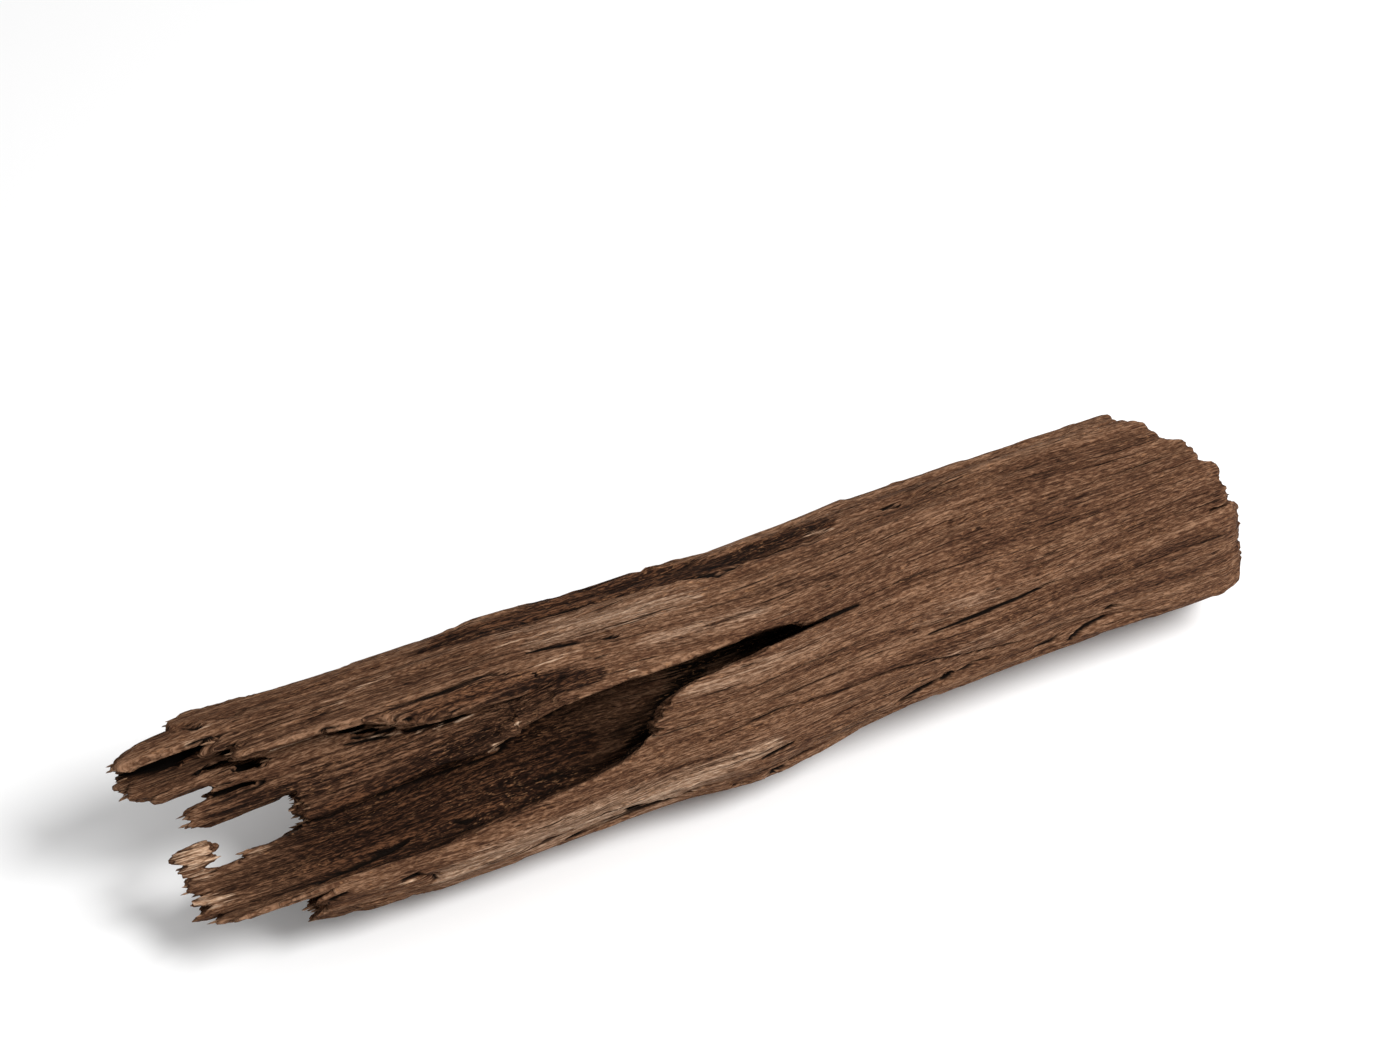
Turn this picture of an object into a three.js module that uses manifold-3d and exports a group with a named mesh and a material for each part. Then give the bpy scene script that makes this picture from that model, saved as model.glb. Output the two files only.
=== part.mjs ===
// A piece of driftwood: a length of rotted branch, hollow inside, split open along one side and splintered
// at one end. The wood is shaped with its broken side up, in millimetres: x runs along the grain, y across it
// and z out of the broken side. It is then rolled to the front, as it lies, and set down on the flat that is
// worn on its underside.
import * as THREE from "three";
import { mergeVertices } from "three/addons/utils/BufferGeometryUtils.js";
import Module from "manifold-3d";

const wasm = await Module();
wasm.setup();

// Driving dimensions of the branch
const SPLINTERED_END = -232;
const BLUNT_END = 220;
const BLUNT_ROUNDING = 11;
const BLUNT_FULLNESS = 0.96;
const ROLL = THREE.MathUtils.degToRad(35.5);
const WORN_FLAT_DEPTH = 3.2;
const SECTION_POWER = 2.25;
const CLEAR = 70;
const MERGE_DISTANCE = 1e-3;

// Facets of the lofted bodies; the columns round the branch stand four degrees apart
const BRANCH_AROUND = 90;
const BRANCH_ALONG = 36;
const BLUNT_CROWDING = 1.25;
const HOLLOW_AROUND = 24;
const HOLLOW_ALONG = 22;
const PEEL_STEP = 13;

// A smooth curve through [x, value] points
function curve(points) {
  const places = points.map((point) => point[0]);
  const values = points.map((point) => point[1]);
  const through = new THREE.CubicInterpolant(places, values, 1);
  return (x) => through.evaluate(THREE.MathUtils.clamp(x, places[0], places.at(-1)))[0];
}

// Outlines of the branch: back and front seen square to the broken side, crown and underside from the front
const backEdge = curve([
  [-232, 43.4], [-190, 45.4], [-155, 43], [-110, 42], [-77, 43.3], [-52, 40.7],
  [-12, 39.3], [18, 37.6], [48, 38.1], [78, 38.9], [130, 38.6], [220, 37],
]);
const frontEdge = curve([
  [-232, -44], [-170, -45], [-130, -47], [-82, -46.6], [-32, -46], [8, -49],
  [35, -45], [73, -42.2], [158, -41], [178, -42.3], [220, -41.5],
]);
const crown = curve([
  [-232, 13], [-190, 17], [-130, 24], [-80, 30], [-30, 34], [60, 36], [140, 35], [220, 33],
]);
const underside = curve([
  [-232, -15], [-190, -20], [-140, -28], [-90, -36], [-40, -38],
  [40, -37.2], [120, -37.8], [180, -38], [220, -36.5],
]);

// The belly that fills out the underside, opposite the broken side: degrees to each side of it, and its height
const BELLY_SPREAD = 75;
const BELLY_HEIGHT = 6.5;

// Rounded ridges of the weathered surface: [depth, ridges round the branch, turn for each mm along it, phase]
const RIDGES = [
  [0.9, 5, 0.006, 0.4],
  [0.7, 9, -0.011, 1.9],
  [0.6, 14, 0.015, 3.1],
];

// Furrows that the weather opened along the grain: [degrees round towards the back, from x, to x, depth]
const FURROW_SPREAD = 6;
const FURROWS = [
  [8, 58, 150, 1.4], [24, 92, 205, 1.6], [32, -70, 25, 1.3], [44, -20, 110, 1.5], [56, 22, 62, 2],
  [60, 76, 100, 2.2], [72, -72, 18, 3], [64, -185, -90, 1.8], [80, 30, 190, 2.2], [92, -160, 5, 2],
  [108, -60, 120, 1.8], [124, -190, -40, 2.4], [140, 10, 205, 2], [156, -120, 70, 1.6], [172, 40, 180, 1.4],
  [-20, 58, 150, 1.6], [-36, 100, 190, 1.4], [-52, -4, 26, 1.8], [-60, 62, 96, 2.6], [-60, 128, 170, 2.8],
  [-64, -64, -40, 1.8], [-72, -92, -32, 2.4], [-80, 30, 140, 1.6], [-92, -130, 20, 2], [-108, 60, 200, 1.8],
  [-124, -150, -10, 2.2], [-144, 0, 150, 1.6], [-164, -180, 30, 1.6],
];

// The rotted heart, from the splintered end to where it closes inside the branch
const HOLLOW_FROM = -250;
const HOLLOW_TO = 82;
const hollowMiddle = curve([[-250, -18], [-150, -18], [-100, -16], [-50, -11], [0, -3], [40, 0], [82, 1]]);
const hollowWidth = curve([[-250, 13], [-150, 13], [-100, 15], [-50, 18], [0, 14], [40, 8], [82, 3]]);
const hollowFloor = curve([[-250, -3], [-150, -6], [-100, -12], [-50, -18], [0, -15], [40, -4], [82, 10]]);
const hollowRoof = curve([[-250, 20], [-100, 20], [-40, 18], [0, 20], [40, 22], [82, 18]]);

// The mouth through which the hollow shows: its back lip, then its front lip with a step in the shell
const MOUTH_BASE = 4;
const MOUTH = [
  [-260, -6], [-160, -6], [-120, -6.5], [-98, -5.5], [-80, -1], [-62, 2.5], [-30, 4], [20, 3.6], [34, 2.6],
  [35, 0.6], [52, 0.2], [34, -1.4], [12, -4.6], [-14, -5.8], [-24, -9], [-31, -12.5], [-33, -19.5],
  [-40, -21.5], [-50, -25.5], [-64, -27.5], [-88, -29], [-120, -31.5], [-260, -31.5],
];

// The layer that peeled off behind the mouth: its outline, and how its floor climbs out to the surface
const PEEL_FROM = -260;
const PEEL_TO = -56;
const PEEL = [
  [-260, 34], [-197, 34], [-186, 34], [-192, 29.5], [-181, 28.5], [-183, 24.5], [-160, 23], [-145, 22.5],
  [-130, 20], [-121, 16.5], [-104, 13], [-80, 12], [-56, 14], [-56, -8], [-260, -8],
];
const peelFloor = curve([[-260, 2], [-185, 3.5], [-140, 7.5], [-100, 14.5], [-75, 23.5], [-56, 36]]);

// Narrow deep clefts that run along the grain: a floor height and an outline
const CLEFTS = [
  { floor: -1.5, outline: [[-260, 33.6], [-195, 34.2], [-186, 33.4], [-191, 30], [-206, 28], [-260, 27.4]] },
  {
    floor: -5.5,
    outline: [[-197, 24.4], [-185, 26.4], [-182, 24], [-173, 22.6], [-166, 18.8], [-181, 19.4], [-185, 22.4]],
  },
  { floor: -3, outline: [[-200, 12.4], [-194, 15.6], [-178, 15.2], [-178, 13], [-193, 11.8]] },
  { floor: 2, outline: [[-148, 22.6], [-131, 21.2], [-122, 18], [-121, 16.2], [-134, 16.6], [-146, 20.6]] },
  { floor: 4, outline: [[-124, 15.4], [-104, 13.6], [-104, 12.6], [-124, 13]] },
];

// The splintered end, tongue by tongue from the back to the front
const CREST_TIP = [[-197, CLEAR], [-197, 45.4], [-199, 43.2], [-199.4, 41.2]];
const BACK_TONGUE = [
  [-207, 40.6], [-215, 39.8], [-220, 38.2], [-223, 35.4], [-221, 34.2], [-222.6, 32.6], [-224, 28.6],
  [-222, 27], [-224, 25], [-220, 21.6], [-214, 20], [-212.6, 18], [-198, 18.4], [-189, 17.2],
];
const MIDDLE_TONGUE = [
  [-195, 15], [-197, 13.4], [-202, 12], [-204.6, 9], [-205.2, 5.6], [-202, 4.2], [-162, 5.6],
];
const MISSING_BOARD = [[-164.4, 2], [-162.6, 0.8], [-165, -1.6], [-160, -6], [-166, -8.6], [-182, -10]];
const PALE_HOOK = [
  [-189.4, -9.2], [-188, -12], [-196, -12.8], [-201, -12.4], [-204.4, -9.8], [-200, -8], [-203.6, -6],
  [-200, -4.6], [-199.4, -2.4], [-203, -0.6], [-213, -1.4], [-214.4, -6], [-211, -11],
];
const FLOOR_TONGUE = [
  [-210.6, -15], [-209, -18.6], [-205, -20], [-214.2, -21.4], [-209.6, -22.8], [-209, -25.2], [-214.2, -27.4],
  [-204, -27.8], [-205, -31], [-200, -32], [-170, -32], [-145, -32.2],
];
const FRONT_TONGUE = [
  [-160, -33.4], [-169, -35], [-172, -36.4], [-168.6, -38.2], [-172.6, -41.2], [-167, -41.8], [-155, -42.8],
  [-153, -44.4], [-133, -45], [-129, -47], [-129, -CLEAR],
];
const BROKEN_EDGE = [
  ...CREST_TIP, ...BACK_TONGUE, ...MIDDLE_TONGUE, ...MISSING_BOARD, ...PALE_HOOK,
  ...FLOOR_TONGUE, ...FRONT_TONGUE,
];

// How the shell broke away below each tongue: a strip across the grain, and the steps of the break along it
const UNDERCUTS = [
  {
    strip: [18, CLEAR],
    steps: [
      [-260, -4], [-222, -5], [-206, -7], [-204, -9.5],
      [-180, -11.5], [-178, -15], [-150, -19], [-147, -26],
    ],
  },
  {
    strip: [4, 18],
    steps: [
      [-260, -5], [-204, -5.5], [-190, -7.5], [-188, -11],
      [-170, -13], [-167, -18], [-140, -22], [-137, -30],
    ],
  },
  {
    strip: [-12, 4],
    steps: [
      [-260, -4], [-205, -4.5], [-190, -7], [-187, -11],
      [-164, -13], [-161, -19], [-152, -22], [-150, -28],
    ],
  },
  {
    strip: [-32, -12],
    steps: [
      [-260, -7], [-214, -7.5], [-200, -9], [-198, -12],
      [-172, -14], [-170, -18.5], [-130, -24], [-127, -31],
    ],
  },
  {
    strip: [-CLEAR, -32],
    steps: [
      [-260, -4], [-172, -5], [-160, -8], [-158, -12],
      [-140, -16], [-138, -21], [-118, -25], [-115, -34],
    ],
  },
];

// The corner that broke off the blunt end, and the drying cracks there: [degrees round, from the heart out to,
// width, depth along the grain]
const LOST_CORNER = [
  [226, -12], [216, -4], [214.5, 7], [209, 9], [206.5, 19], [200, 21], [197, 31], [191, 33], [188, CLEAR],
  [260, CLEAR], [260, -12],
];
const END_CRACKS = [
  [22, 3, 52, 4, 38], [104, 4, 50, 3.4, 46], [188, 2, 50, 4.4, 40], [262, 5, 52, 3, 30], [318, 6, 46, 2.6, 24],
];
const CRACK_OVERRUN = 3;

// A closed geometry as a solid that can be joined and cut
function solidOf(geometry) {
  geometry.deleteAttribute("normal");
  geometry.deleteAttribute("uv");
  const merged = mergeVertices(geometry, MERGE_DISTANCE);
  return new wasm.Manifold(
    new wasm.Mesh({
      numProp: 3,
      vertProperties: merged.attributes.position.array,
      triVerts: new Uint32Array(merged.index.array),
    }),
  );
}

// A solid as a geometry
function geometryOf(solid) {
  const mesh = solid.getMesh();
  return new THREE.BufferGeometry()
    .setAttribute("position", new THREE.BufferAttribute(mesh.vertProperties, 3))
    .setIndex(new THREE.BufferAttribute(mesh.triVerts, 1));
}

// A body lofted along x: place(t) gives x, and section(x, angle) a point on the rim, 0 being straight out
function loft(around, along, place, section, middle) {
  const geometry = new THREE.CylinderGeometry(1, 1, 1, around, along).rotateZ(-Math.PI / 2);
  const position = geometry.attributes.position;
  for (let i = 0; i < position.count; i += 1) {
    const x = place(position.getX(i) + 0.5);
    const onRim = Math.hypot(position.getY(i), position.getZ(i)) > 0.5;
    const angle = Math.atan2(position.getY(i), position.getZ(i));
    const [across, out] = onRim ? section(x, angle) : middle(x);
    position.setXYZ(i, x, across, out);
  }
  return solidOf(geometry);
}

// A power of a sine or cosine that keeps its sign, which squares an ellipse's corners a little
function signedPower(value, power) {
  return Math.sign(value) * Math.abs(value) ** power;
}

function branchMiddle(x) {
  return [(backEdge(x) + frontEdge(x)) / 2, (crown(x) + underside(x)) / 2];
}

// How far the worn, rounded edge of the blunt end draws the surface in
function bluntShrink(x) {
  const into = Math.max(0, x - (BLUNT_END - BLUNT_ROUNDING)) / BLUNT_ROUNDING;
  return BLUNT_ROUNDING * (1 - Math.sqrt(1 - into * into * BLUNT_FULLNESS));
}

// How far the belly stands out of the underside at an angle round the branch
function belly(angle) {
  const away = 180 - Math.abs(THREE.MathUtils.radToDeg(angle));
  const fade = Math.min(1, away / BELLY_SPREAD);
  return BELLY_HEIGHT * Math.cos((fade * Math.PI) / 2) ** 2;
}

// How deep the furrows are at a place on the branch: each fades out at its two ends and beside its column
function furrowDepth(x, angle) {
  const degrees = THREE.MathUtils.radToDeg(angle);
  return FURROWS.reduce((sum, [at, from, to, depth]) => {
    const along = THREE.MathUtils.clamp((x - from) / (to - from), 0, 1);
    const beside = Math.max(0, 1 - Math.abs(degrees - at) / FURROW_SPREAD);
    return sum + depth * beside * Math.sqrt(Math.sin(Math.PI * along));
  }, 0);
}

function branchSection(x, angle) {
  const [middleAcross, middleOut] = branchMiddle(x);
  const halfWidth = (backEdge(x) - frontEdge(x)) / 2;
  const halfDepth = (crown(x) - underside(x)) / 2;
  const ridge = RIDGES.reduce((sum, [depth, count, turn, phase]) => {
    return sum + depth * Math.sin(count * angle + turn * x + phase);
  }, 0);
  const relief = ridge + belly(angle) - furrowDepth(x, angle) - bluntShrink(x);
  const scale = 1 + relief / halfWidth;
  const across = signedPower(Math.sin(angle), 2 / SECTION_POWER) * halfWidth * scale;
  const out = signedPower(Math.cos(angle), 2 / SECTION_POWER) * halfDepth * scale;
  return [middleAcross + across, middleOut + out];
}

function hollowCentre(x) {
  return [hollowMiddle(x), (hollowRoof(x) + hollowFloor(x)) / 2];
}

function hollowSection(x, angle) {
  const [across, out] = hollowCentre(x);
  const halfDepth = (hollowRoof(x) - hollowFloor(x)) / 2;
  return [across + hollowWidth(x) * Math.sin(angle), out + halfDepth * Math.cos(angle)];
}

function shapeOf(outline) {
  return new THREE.Shape(outline.map(([first, second]) => new THREE.Vector2(first, second)));
}

// A straight-sided cutter over an outline in x and y, from one height to another
function cutter(outline, from, to) {
  const geometry = new THREE.ExtrudeGeometry(shapeOf(outline), { depth: to - from, bevelEnabled: false });
  return solidOf(geometry.translate(0, 0, from));
}

// A cutter right across the grain, over an outline in x and z, from one y to another
function sideCutter(outline, from, to) {
  const geometry = new THREE.ExtrudeGeometry(shapeOf(outline), { depth: to - from, bevelEnabled: false });
  return solidOf(geometry.rotateX(Math.PI / 2).translate(0, to, 0));
}

function branch() {
  const span = BLUNT_END - SPLINTERED_END;
  const place = (t) => BLUNT_END - span * (1 - t) ** BLUNT_CROWDING;
  return loft(BRANCH_AROUND, BRANCH_ALONG, place, branchSection, branchMiddle);
}

function hollow() {
  const place = (t) => THREE.MathUtils.lerp(HOLLOW_FROM, HOLLOW_TO, t);
  return loft(HOLLOW_AROUND, HOLLOW_ALONG, place, hollowSection, hollowCentre);
}

// What is missing above the peeled floor
function peeledLayer() {
  const steps = Math.round((PEEL_TO - PEEL_FROM) / PEEL_STEP);
  const floor = Array.from({ length: steps + 1 }, (_, i) => {
    const x = THREE.MathUtils.lerp(PEEL_FROM, PEEL_TO, i / steps);
    return [x, peelFloor(x)];
  });
  const aboveFloor = sideCutter([...floor, [PEEL_TO, CLEAR], [PEEL_FROM, CLEAR]], -CLEAR, CLEAR);
  return cutter(PEEL, -CLEAR, CLEAR).intersect(aboveFloor);
}

function undercut({ strip, steps }) {
  const outline = [...steps, [steps.at(-1)[0], -CLEAR], [steps[0][0], -CLEAR]];
  return sideCutter(outline, ...strip);
}

function splinterGap() {
  const outline = [[-CLEAR + SPLINTERED_END, -CLEAR], [-CLEAR + SPLINTERED_END, CLEAR], ...BROKEN_EDGE];
  return cutter(outline, -CLEAR, CLEAR);
}

// A spindle-shaped crack in the blunt end, which closes to a point inside the wood
function endCrack([degrees, from, to, width, depth]) {
  const [across, out] = branchMiddle(BLUNT_END);
  const geometry = new THREE.ConeGeometry(1, depth + CRACK_OVERRUN, 4)
    .rotateZ(Math.PI / 2)
    .scale(1, (to - from) / 2, width / 2)
    .translate(BLUNT_END + CRACK_OVERRUN - (depth + CRACK_OVERRUN) / 2, (from + to) / 2, 0)
    .rotateX(THREE.MathUtils.degToRad(degrees))
    .translate(0, across, out);
  return solidOf(geometry);
}

// Rolls the wood to the front and cuts the worn flat that it rests on, at z = 0
function laidDown(wood) {
  const rolled = geometryOf(wood).rotateX(ROLL);
  rolled.computeBoundingBox();
  rolled.translate(0, 0, -rolled.boundingBox.min.z - WORN_FLAT_DEPTH);
  const ground = new THREE.BoxGeometry(4 * BLUNT_END, 4 * CLEAR, CLEAR).translate(0, 0, -CLEAR / 2);
  const trimmed = geometryOf(solidOf(rolled).subtract(solidOf(ground)));
  trimmed.computeBoundingBox();
  const middle = trimmed.boundingBox.getCenter(new THREE.Vector3());
  return trimmed.translate(-middle.x, -middle.y, 0);
}

const cuts = [
  hollow(),
  cutter(MOUTH, MOUTH_BASE, CLEAR),
  peeledLayer(),
  ...CLEFTS.map(({ floor, outline }) => cutter(outline, floor, CLEAR)),
  ...UNDERCUTS.map(undercut),
  splinterGap(),
  cutter(LOST_CORNER, -CLEAR, CLEAR),
  ...END_CRACKS.map(endCrack),
];
const wood = cuts.reduce((whole, cut) => whole.subtract(cut), branch());

const driftwood = new THREE.Mesh(
  laidDown(wood),
  new THREE.MeshStandardMaterial({ color: 0x6b5140, roughness: 0.92, metalness: 0 }),
);
driftwood.name = "driftwood";

const part = new THREE.Group();
part.add(driftwood);
export default part;
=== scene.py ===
"""Looks of a piece of driftwood: a hollow branch, split open along the grain and splintered at one end.

Blender 4.5. The scene is in metres. The wood has its own axes, in millimetres: x along the grain, m across
the grain and n out of the broken side. A pair of numbers that is named for a change says where the change
begins and where it is complete.
"""

from __future__ import annotations

import logging
import math
from dataclasses import dataclass
from enum import Enum
from typing import Any

import bpy
import numpy as np
from mathutils import Matrix, Vector

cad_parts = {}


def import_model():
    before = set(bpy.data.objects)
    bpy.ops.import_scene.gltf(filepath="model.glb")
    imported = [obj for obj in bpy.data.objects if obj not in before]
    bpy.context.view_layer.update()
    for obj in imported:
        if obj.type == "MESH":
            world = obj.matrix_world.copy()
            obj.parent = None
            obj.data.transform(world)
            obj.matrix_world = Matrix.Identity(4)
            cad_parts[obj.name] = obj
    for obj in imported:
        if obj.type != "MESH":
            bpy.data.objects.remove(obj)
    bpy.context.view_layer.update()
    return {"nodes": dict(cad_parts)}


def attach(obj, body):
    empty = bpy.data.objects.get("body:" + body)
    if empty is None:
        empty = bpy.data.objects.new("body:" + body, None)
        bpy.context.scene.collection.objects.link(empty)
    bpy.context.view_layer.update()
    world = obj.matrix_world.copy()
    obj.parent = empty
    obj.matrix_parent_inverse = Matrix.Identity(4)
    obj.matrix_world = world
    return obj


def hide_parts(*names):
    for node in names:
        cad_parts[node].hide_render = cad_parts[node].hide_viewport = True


LOG = logging.getLogger("driftwood")
MM = 0.001
BODY = "root"
NODE = "driftwood"

Point = tuple[float, float]
Triple = tuple[float, float, float]
Line = tuple[Point, ...]
Colours = tuple[Triple, ...]
Socket = bpy.types.NodeSocket
Value = Any


class Mask(Enum):
    """Names of the values that the wood carries at each of its points."""

    GRAIN = "grain"
    RELIEF = "relief"
    HOLLOW = "hollow"
    DARK = "dark"
    GREY = "grey"
    PALE = "pale"
    SLIT = "slit"
    SHADE = "shade"
    LIFT = "lift"
    RINGS = "rings"
    PITH = "pith"
    EDGE = "edge"
    TORN = "torn"


@dataclass(frozen=True)
class WoodAxes:
    """The wood's own axes: their roll about the grain, and where the heart of the wood lies in the scene."""

    roll: float = math.radians(35.5)
    heart: Triple = (0.0020, 0.0020, 0.0445)

    def to_wood(self) -> Matrix:
        """Returns the matrix from scene metres to wood millimetres."""
        return self.to_scene().inverted()

    def to_scene(self) -> Matrix:
        """Returns the matrix from wood millimetres to scene metres."""
        return Matrix.Translation(self.heart) @ Matrix.Rotation(self.roll, 4, "X") @ Matrix.Scale(MM, 4)


@dataclass(frozen=True)
class Streak:
    """A mark along a line of points (x, m) on the broken side, which is narrower towards its ends."""

    line: Line
    half_width: float
    strength: float = 1.0
    crispness: float = 2.0
    end_width: float = 0.55

    def at(self, seen: np.ndarray, narrow: np.ndarray) -> np.ndarray:
        """Spreads the mark over points of the broken side.

        Args:
            seen: the points as (x, m), one row each.
            narrow: what the width is multiplied by at each point.

        Returns:
            The mark's strength at each point, falling off on both sides of its line.
        """
        first, last = self.line[0][0], self.line[-1][0]
        course = np.clip((seen[:, 0] - first) / (last - first), 0, 1)
        swell = self.end_width + (1 - self.end_width) * np.sin(math.pi * course)
        nearest = np.full(len(seen), np.inf)
        for start, end in zip(self.line[:-1], self.line[1:]):
            along = np.subtract(end, start)
            share = np.clip((seen - start) @ along / (along @ along), 0, 1)
            gap = np.linalg.norm(seen - start - share[:, None] * along, axis=1)
            nearest = np.minimum(nearest, gap)
        return self.strength * np.exp(-((nearest / (self.half_width * narrow * swell)) ** self.crispness))


@dataclass(frozen=True)
class Markings:
    """The marks that are placed one by one, as they lie on a plane in front of the broken side.

    A mark is carried from that plane onto the wood along the line to the sight point.
    """

    sight: Triple = (-328.0, 0.5, 1258.0)
    plane: float = 30.0
    # The slits are carved, and also coloured near-black as painted shade inside them.
    slits: tuple[Streak, ...] = (
        Streak(((-200, 40.6), (-196, 39.6), (-192, 38.6)), 0.9),
        Streak(((-187, 39.5), (-176, 38)), 0.7, 0.5),
        Streak(((-226, 32), (-215, 31), (-205, 30.4), (-197, 32.6), (-190, 33.5)), 2.4),
        Streak(((-195, 28.5), (-183, 28.3)), 0.7, 0.8),
        Streak(((-191, 27.5), (-186, 26.5)), 0.8, 0.9),
        Streak(((-200, 23.6), (-190, 24.5), (-186, 23.2)), 1.0),
        Streak(((-186, 20.5), (-180, 19.5), (-175, 18.2)), 1.3),
        Streak(((-200, 14.6), (-190, 14.4), (-181, 12.2)), 2.0),
        Streak(((-172, -29), (-155, -27), (-137, -25)), 1.3),
        Streak(((-178, -38), (-162, -35.6)), 1.0, 0.9),
        Streak(((-152, 22.8), (-144, 20.9), (-136, 19.7)), 1.3),
        Streak(((-140, 17.2), (-130.5, 16), (-123, 14)), 1.4),
        Streak(((-125, 16.5), (-119, 16.5)), 0.7, 0.8),
        Streak(((-145, 15), (-135, 13.8), (-128, 12.8)), 0.8, 0.8),
        Streak(((-124, 13.6), (-119, 13.2), (-115, 12.6)), 2.2),
        Streak(((-113, 12.7), (-108, 12), (-103, 11.6)), 2.0, 0.9),
        Streak(((-166, -6.9), (-148, -6.7), (-130, -6.1), (-98, -6.7), (-80, -1), (-58, 2.3)), 0.7, 0.75),
        Streak(((-16, -28.6), (12, -25.9), (39, -27.9), (63, -27.5), (86, -30), (122, -33.9)), 0.6, 0.5),
        Streak(((-3, -22.6), (27, -21.4), (62, -18.6)), 0.55, 0.4),
        Streak(((-72, 17), (-71, 15.3)), 0.8),
        Streak(((-139, -38.7), (-134.5, -39.1), (-130.7, -41.7)), 1.3),
        Streak(((-70, 35.6), (-62, 35.5), (-55, 34.9), (-45, 34), (-41, 34.5)), 0.7, 0.9),
        Streak(((80, 32), (87, 31.5)), 1.0, 0.85),
        Streak(((-41, 33.6), (-24, 32.4), (9.7, 27.8), (29.6, 29.6), (49, 30.4)), 0.7, 0.7),
        Streak(((35, -0.6), (45, 0.2), (58, 1)), 0.7),
        Streak(((-85, -45), (-72, -43.8), (-50, -43.5), (-20, -43.5)), 0.7, 0.7),
        Streak(((-57, -42), (-50, -42)), 0.6, 0.8),
        Streak(((-11, -47.2), (-2, -48.7), (8, -47), (29, -43.1)), 0.8, 0.85),
        Streak(((0, -41.5), (8, -40.3), (15, -39.3)), 0.6, 0.8),
        Streak(((58, -39), (70, -37), (82, -34.7)), 0.7, 0.8),
        Streak(((79, -36.4), (84, -35)), 1.1, 0.9),
        Streak(((85, -35.6), (100, -34.2)), 0.6, 0.6),
        Streak(((133, -39), (142, -36), (152, -35)), 0.7, 0.9),
        Streak(((150, -32.9), (156, -32.6)), 0.9),
        Streak(((118, -38), (129, -37)), 0.7, 0.7),
        Streak(((80, -18.6), (100, -18), (120, -17), (135, -16)), 0.7, 0.8),
        Streak(((-118, -24.5), (-111, -25.5)), 1.4, 0.7),
        Streak(((-104, -27.5), (-98, -27.5)), 1.0, 0.7),
        Streak(((-98, -24.5), (-80, -24.8)), 0.7, 0.6),
        Streak(((-84, -20.3), (-70, -20.2)), 0.7, 0.6),
        Streak(((-125, 23), (-105, 21.5), (-90, 22), (-83, 20.3)), 0.8, 0.6),
        Streak(((-69.6, 25.4), (-53, 22.6), (-37.6, 19.8)), 0.8, 0.8),
    )
    # Painted shade under the lip of the hollow's mouth and along its narrow slot.
    shades: tuple[Streak, ...] = (
        Streak(((-48, -24), (-37, -17), (-27, -11), (-17, -5.5), (-9, -2)), 6.0, 0.75, 3),
        Streak(((-50, -15), (-37, -11), (-24, -6)), 4.0, 0.5),
        Streak(((-22, 1.2), (-8, 0.6), (15, 0.3), (35, 0.6)), 5.0, 0.7, 3),
    )
    # Dark streaks: partly darker wood, partly painted shade, as on the bench under its torn edge and along
    # the crest strip.
    darks: tuple[Streak, ...] = (
        Streak(((-172, 6), (-130, 4), (-75, 9)), 11.0, 0.65, 4),
        Streak(((-168, -15), (-147, -14.5), (-124, -15), (-98, -17), (-60, -14)), 10.0, 1.0, 5),
        Streak(((-118, 18), (-92, 16.5), (-72, 12.5), (-48, 8.5)), 6.5, 0.85, 4),
        Streak(((-70, 24.6), (-53, 21.6), (-38, 18)), 1.8, 0.5),
        Streak(((-2, 17.6), (26, 16.8), (50, 14.4)), 1.8, 0.5),
        Streak(((-202, 8), (-170, 9)), 6.0, 0.75),
        Streak(((-215, 24), (-170, 28), (-100, 32)), 12.0, 0.4),
        Streak(((-205, -20), (-150, -24)), 8.0, 0.48),
        Streak(((-225, 29.5), (-195, 30)), 3.0, 1.0, 4),
        Streak(
            ((-105, 39.5), (-70, 37.6), (-41, 37), (-20, 35.4), (10, 32), (33, 34), (60, 34)), 4.4, 1.0, 6
        ),
        Streak(((-130, 21), (-90, 21.5)), 2.4, 0.6),
        Streak(((-160, -20.5), (-145, -20)), 2.0, 0.8),
        Streak(((-128, -26), (-112, -25.5), (-96, -28)), 3.2, 0.9),
        Streak(((-170, -28), (-147, -25.5)), 2.0, 0.7),
        Streak(((-165, 14), (-110, 12)), 2.5, 0.6),
        Streak(((-18, 11.3), (17.8, 12.3), (54.6, 14.5)), 2.2, 0.6),
        Streak(((20, 20), (80, 22)), 7.0, 0.35),
        Streak(((60, -24), (120, -24)), 5.0, 0.2),
    )
    greys: tuple[Streak, ...] = (
        Streak(((-128, -42), (-90, -40), (-30, -39.5), (10, -37.5)), 4.6, 1.0),
        Streak(((-70, 28), (-40, 27), (0, 24.5)), 5.0, 0.6),
        Streak(((-30, 14), (20, 11)), 5.0, 0.38),
        Streak(((-20, -10), (50, -6)), 6.0, 0.3),
        Streak(((75, -13), (115, -12)), 4.0, 0.35),
        Streak(((80, -28), (120, -27)), 4.0, 0.35),
        Streak(((-80, 35), (-45, 30)), 2.5, 0.4),
    )
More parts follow.
